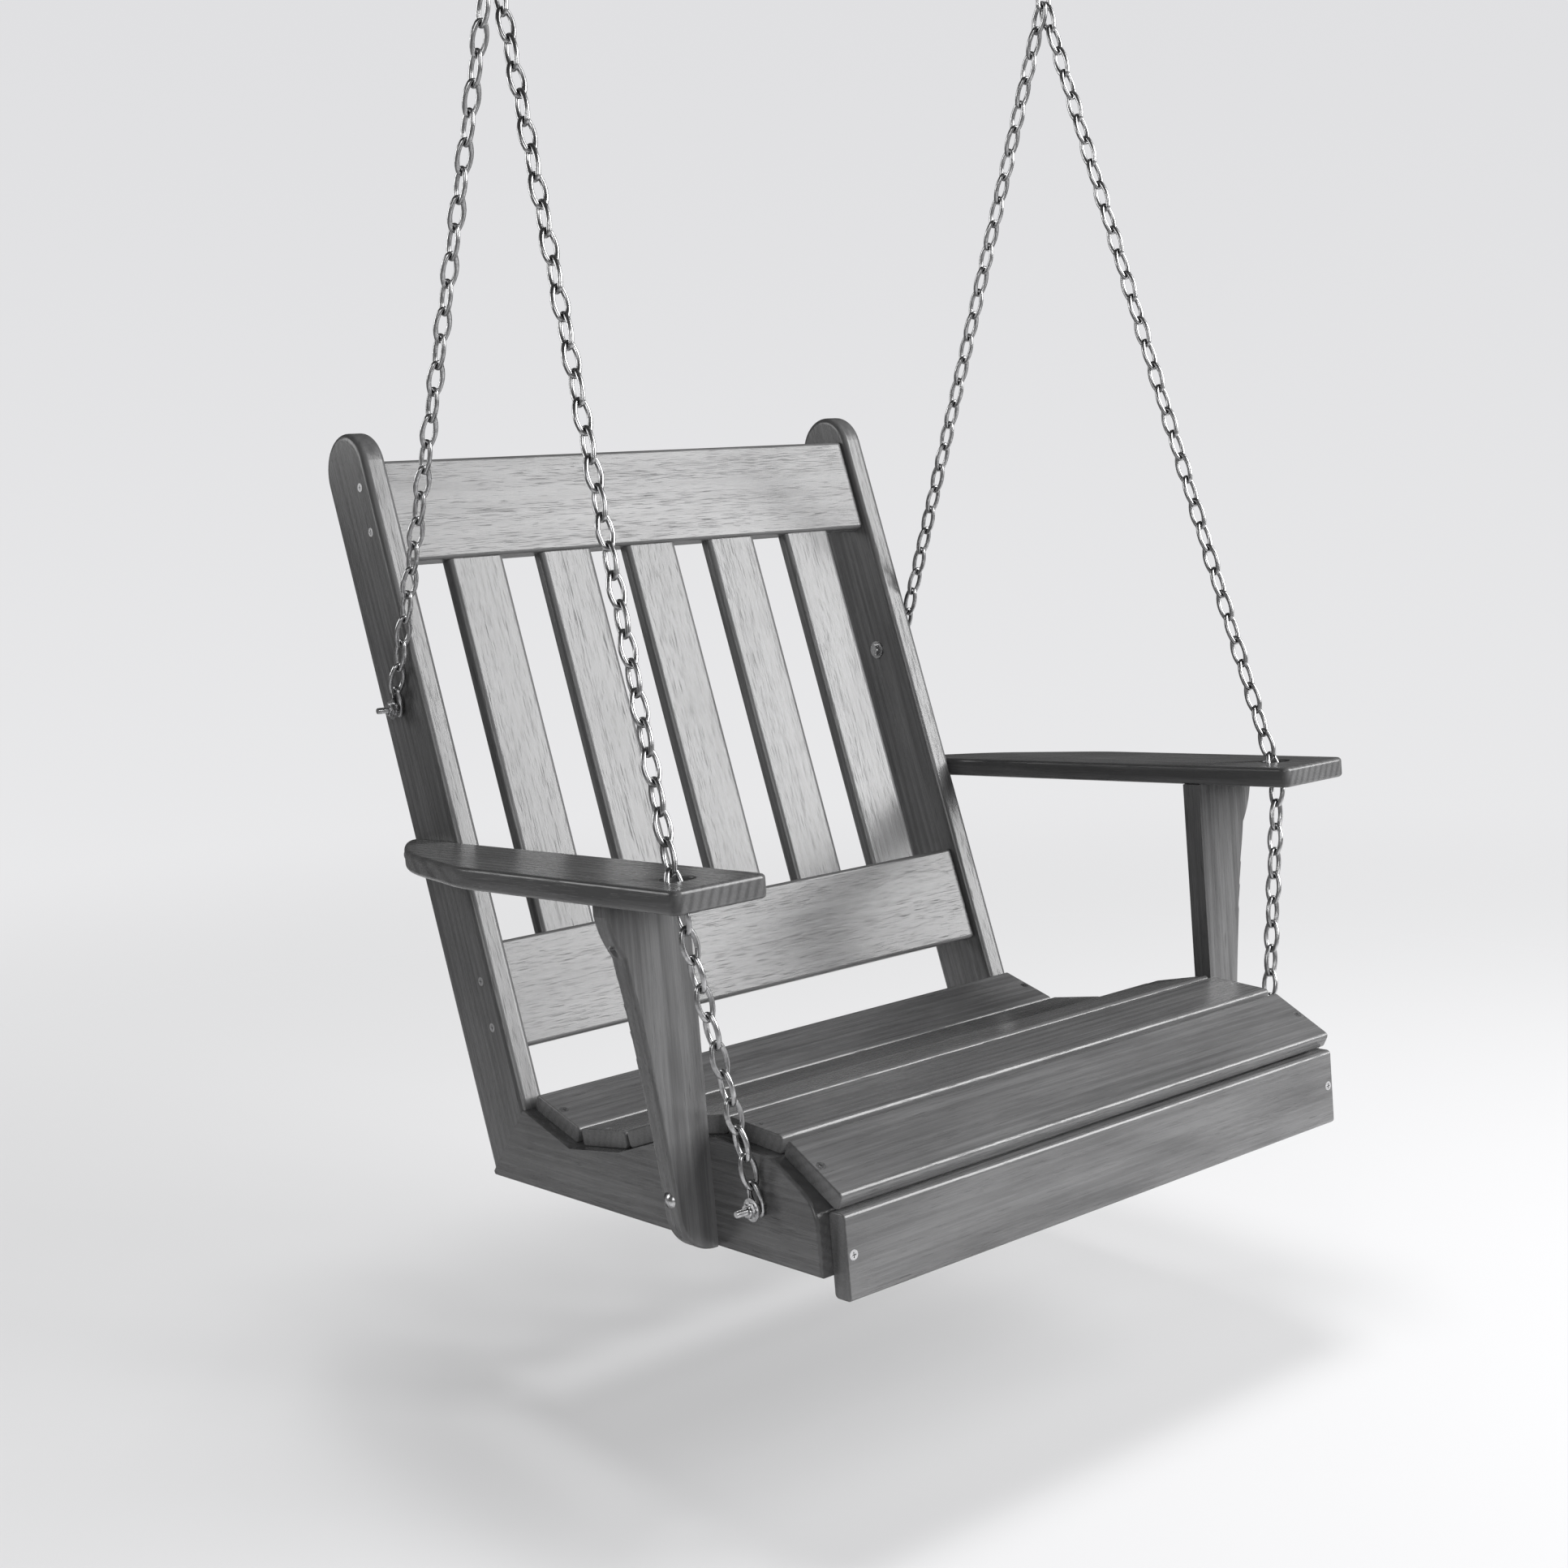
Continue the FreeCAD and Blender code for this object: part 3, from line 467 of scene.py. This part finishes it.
def dress_wood():
    """One material per board, so that no two boards share their figure. A board's last value is its tone."""
    back_face = Vector((0, -math.cos(BACK_TILT), math.sin(BACK_TILT)))
    boards = [
        ("top_rail", ACROSS, back_face, 1.06),
        ("lower_rail", ACROSS, back_face, 1.0),
        ("apron", ACROSS, Vector((0, -1, 0)), 1.0),
    ]
    boards += [(f"back_slat_{i}", UP_THE_BACK, back_face, 0.97 + 0.02 * i) for i in range(1, 6)]
    boards += [
        (f"seat_slat_{i + 1}", ACROSS, slope_face(slope), 0.98 + 0.03 * (i % 3))
        for i, slope in enumerate(SEAT_SLOPES)
    ]
    for side in ("left", "right"):
        boards += [
            (f"stile_{side}", UP_THE_BACK, ACROSS, 0.95),
            (f"seat_rail_{side}", ALONG_THE_ARM, ACROSS, 0.92),
            (f"arm_{side}", ALONG_THE_ARM, UP_THE_POST, 0.92),
            (f"arm_post_{side}", UP_THE_POST, ACROSS, 1.0),
        ]
    for seed, (name, grain, face, tone) in enumerate(boards, start=1):
        figure = STRONG_FIGURE if name in ("arm_left", "arm_right") else PLAIN_FIGURE
        assign(name, wood(name, grain, face, seed, tone, figure))
    assign("joint_dowels", wood("joint_dowels", ACROSS, UP_THE_POST, len(boards) + 1, tone=0.8))


def dress_metal():
    """Chain, fasteners and hanger plates."""
    chain = metal("zinc_chain", tone=0.42, roughness=0.27, wear_scale=240.0, grime=0.35)
    bolts = metal("bolt_steel", tone=0.50, roughness=0.26, wear_scale=300.0, grime=0.25)
    screws = metal("screw_steel", tone=0.50, roughness=0.30, wear_scale=500.0, grime=0.20)
    plates = metal("hanger_steel", tone=0.55, roughness=0.32, wear_scale=90.0, grime=0.25)
    for side in ("left", "right"):
        for stem in ("front_chain", "rear_chain", "upper_links", "joining_link"):
            assign(f"{stem}_{side}", chain)
        for stem in ("quick_link", "quick_link_sleeve"):
            assign(f"{stem}_{side}", bolts)
        for stem in ("hanger_loop", "ceiling_plate"):
            assign(f"{stem}_{side}", plates)
    for name in ("arm_bolts", "post_bolts", "carriage_nuts", "carriage_washers", "chain_washers"):
        assign(name, bolts)
    fasteners("threaded_chain_bolts", "chain_bolts", bolt_stations(), False, bolts)
    fasteners("chamfered_chain_nuts", "chain_nuts", nut_stations(), True, bolts)
    for name in ("apron_screws", "arm_screws", "seat_slat_screws", "stile_screws"):
        assign(name, screws)


# ---------------------------------------------------------------- studio
FLOOR_DROP = 0.206        # from the swing's lowest point to the floor
FLOOR_Z = CAD_BOUNDS[0].z - FLOOR_DROP
FLOOR_RADIUS = 6.0
FLOOR_SEGMENTS = 96
FLOOR_FADE = (0.7, 3.2)   # distances at which the floor starts to fade and is gone
FLOOR_GLOW = 0.47         # what the camera sees of the floor where no lamp reaches
FLOOR_PAINT = (0.6, 0.6, 0.605, 1)
FLOOR_PAINT_SEEN = (0.2, 0.2, 0.2025, 1)

# colours of the surround below and above, as the camera sees it and as it lights the swing
SEEN_BELOW = (0.83, 0.83, 0.84, 1)
SEEN_ABOVE = (0.745, 0.745, 0.76, 1)
LIT_BELOW = (0.10, 0.10, 0.10, 1)
LIT_ABOVE = (0.05, 0.05, 0.05, 1)

CAMERA_PLACE = (-1.33014, -1.56147, -0.56828)
CAMERA_TURN = (80.8316, 2.1589, -39.7001)  # degrees
CAMERA_LENS = 49.537                       # mm, on a sensor 36 mm wide
SEAT_MIDDLE = Vector((0, 0, -0.9))         # where every lamp points


def studio_world():
    """A pale seamless surround that the camera sees, and a dimmer one that lights the scene."""
    world = bpy.data.worlds.new("studio")
    bpy.context.scene.world = world
    world.use_nodes = True
    t = Tree(world.node_tree)
    direction = t.node("ShaderNodeTexCoord").outputs["Generated"]
    up = t.node("ShaderNodeSeparateXYZ", {"Vector": direction}).outputs["Z"]
    seen = t.blend(t.remap(up, -0.35, 0.25), SEEN_BELOW, SEEN_ABOVE)
    lit = t.blend(t.remap(up, -0.3, 0.9), LIT_BELOW, LIT_ABOVE)
    camera_ray = t.node("ShaderNodeLightPath").outputs["Is Camera Ray"]
    sky = t.node("ShaderNodeBackground", {"Color": t.blend(camera_ray, lit, seen)})
    t.feed(t.node("ShaderNodeOutputWorld").inputs["Surface"], sky.outputs[0])


def floor():
    """A plain pale disc."""
    mesh = bpy.data.meshes.new("floor")
    turns = [2 * math.pi * i / FLOOR_SEGMENTS for i in range(FLOOR_SEGMENTS)]
    ring = [(FLOOR_RADIUS * math.cos(turn), FLOOR_RADIUS * math.sin(turn), FLOOR_Z) for turn in turns]
    mesh.from_pydata(ring, [], [tuple(range(FLOOR_SEGMENTS))])
    mesh.materials.append(floor_paint())
    disc = bpy.data.objects.new("floor", mesh)
    bpy.context.scene.collection.objects.link(disc)
    return disc


def floor_paint():
    """Paint that fades out into the surround with distance from the swing."""
    material = bpy.data.materials.new("floor")
    material.use_nodes = True
    t = Tree(material.node_tree)
    place = t.node("ShaderNodeTexCoord").outputs["Object"]
    flat = t.node("ShaderNodeVectorMath", operation="MULTIPLY")
    t.feed(flat.inputs[0], place)
    flat.inputs[1].default_value = (1, 1, 0)
    distance = t.node("ShaderNodeVectorMath", operation="LENGTH")
    t.feed(distance.inputs[0], flat.outputs[0])
    fade = t.remap(distance.outputs["Value"], *FLOOR_FADE)
    seen = t.node("ShaderNodeLightPath").outputs["Is Camera Ray"]
    paint = t.node(
        "ShaderNodeBsdfPrincipled",
        {
            "Base Color": t.blend(seen, FLOOR_PAINT, FLOOR_PAINT_SEEN),
            "Roughness": 0.8,
            "Emission Color": (0.99, 0.99, 1.0, 1),
            "Emission Strength": t.math("MULTIPLY", seen, FLOOR_GLOW),
        },
    )
    clear = t.node("ShaderNodeBsdfTransparent")
    mix = t.node("ShaderNodeMixShader")
    for socket, value in zip(mix.inputs, (fade, paint.outputs[0], clear.outputs[0])):
        t.feed(socket, value)
    t.surface(mix.outputs[0])
    return material


def softbox(name, azimuth, elevation, distance, size, power):
    """An area light that the camera doesn't see. Azimuth 0 is in front of the swing, 90 on its +X side."""
    a, e = math.radians(azimuth), math.radians(elevation)
    outward = Vector((math.sin(a) * math.cos(e), -math.cos(a) * math.cos(e), math.sin(e)))
    light = bpy.data.lights.new(name, "AREA")
    light.shape = "RECTANGLE"
    light.size, light.size_y = size
    light.energy = power
    lamp = bpy.data.objects.new(name, light)
    lamp.location = SEAT_MIDDLE + outward * distance
    lamp.rotation_mode = "QUATERNION"
    lamp.rotation_quaternion = outward.to_track_quat("Z", "Y")
    lamp.visible_camera = False
    bpy.context.scene.collection.objects.link(lamp)
    return lamp


def lights(the_floor):
    """The key lights everything. The small lamps leave the floor out, and the overhead lights it alone."""
    softbox("key", 42, 25, 3.2, (1.7, 2.2), 212)
    off_the_floor = [
        softbox("spot", 47, 50, 3.6, (0.5, 0.5), 10),
        softbox("back_fill", 225, 18, 3.2, (1.7, 1.3), 36),
        softbox("side_fill", 315, 18, 3.2, (1.7, 1.3), 32),
    ]
    floor_only = [softbox("overhead", 45, 88, 3.6, (1.1, 1.1), 185)]
    for lamps, state in ((off_the_floor, "EXCLUDE"), (floor_only, "INCLUDE")):
        receivers = bpy.data.collections.new("floor_" + state.lower())
        receivers.objects.link(the_floor)
        receivers.collection_objects[0].light_linking.link_state = state
        for lamp in lamps:
            lamp.light_linking.receiver_collection = receivers


def camera():
    """The viewing angle of the picture that the swing was built from."""
    data = bpy.data.cameras.new("camera")
    data.sensor_width = 36.0
    data.lens = CAMERA_LENS
    data.clip_end = 60.0
    seen_from = bpy.data.objects.new("camera", data)
    seen_from.location = CAMERA_PLACE
    seen_from.rotation_euler = [math.radians(angle) for angle in CAMERA_TURN]
    bpy.context.scene.collection.objects.link(seen_from)
    bpy.context.scene.camera = seen_from


def colour_management():
    """Plain display values, so that greys come out as they are lit."""
    bpy.context.scene.view_settings.view_transform = "Standard"
    bpy.context.scene.view_settings.look = "None"


camera()
colour_management()
studio_world()
lights(floor())
dress_wood()
dress_metal()
